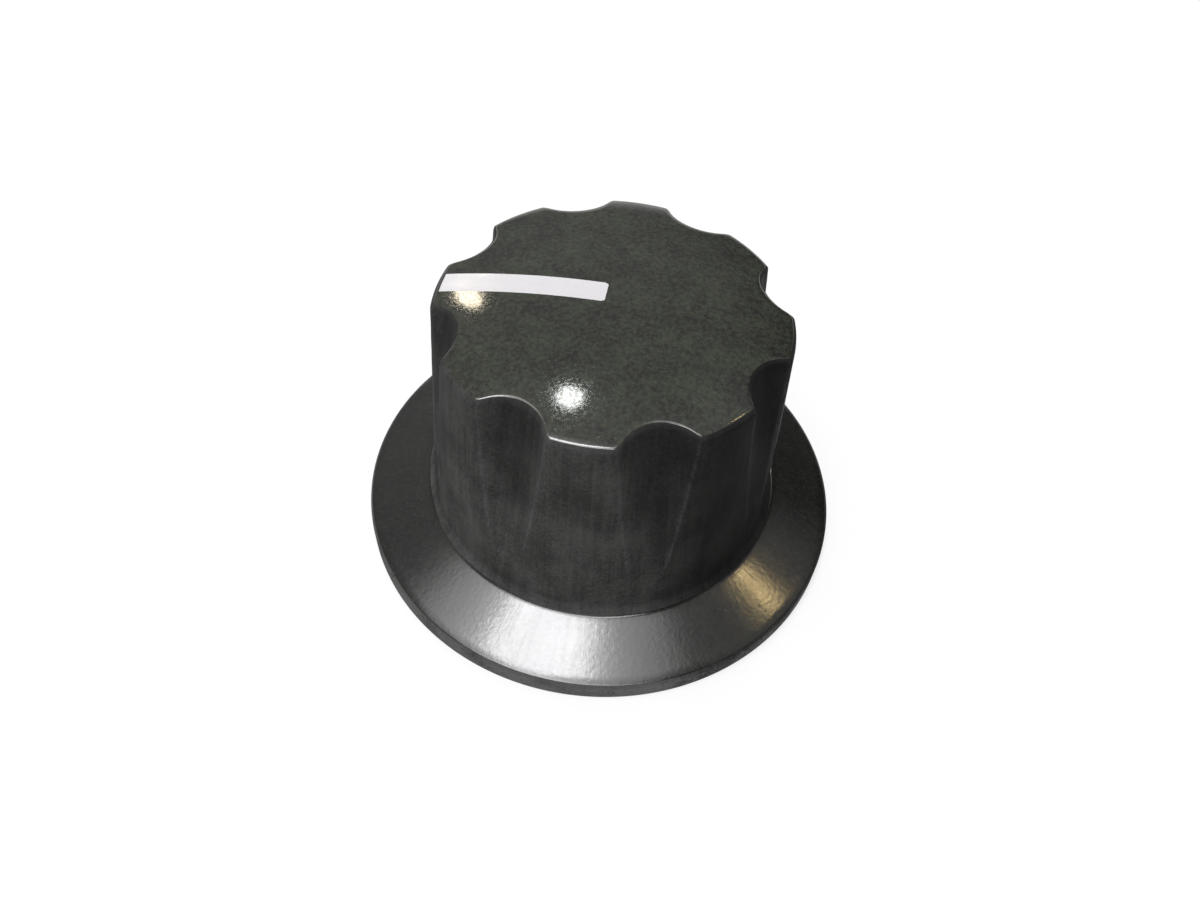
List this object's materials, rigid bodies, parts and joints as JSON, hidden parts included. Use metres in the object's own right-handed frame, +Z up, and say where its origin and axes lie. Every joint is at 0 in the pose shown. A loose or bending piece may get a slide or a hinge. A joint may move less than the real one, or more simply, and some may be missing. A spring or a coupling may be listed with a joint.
{
  "type": "control knob",
  "caption": "Round fluted control knob with a domed top, a white pointer line and a wide conical skirt, clamped to a round instrument shaft by a radial set screw.",
  "frame": {"origin": "centre of the skirt's lower face, on the shaft axis", "axes": "+Z up the shaft axis, away from the panel; -X along the pointer line"},
  "size_m": [0.032, 0.032, 0.0184],
  "materials": {
    "moulding": "polished black thermoset moulding with fine dust and rubbing marks",
    "line_fill": "white enamel filled flush into a groove",
    "bushing_metal": "turned, slightly dulled",
    "screw_steel": "dark oiled steel"
  },
  "bodies": {
    "root": {"knob_body": "moulding", "pointer_line": "line_fill", "shaft_bushing": "bushing_metal", "set_screw": "screw_steel"}
  },
  "joints": []
}
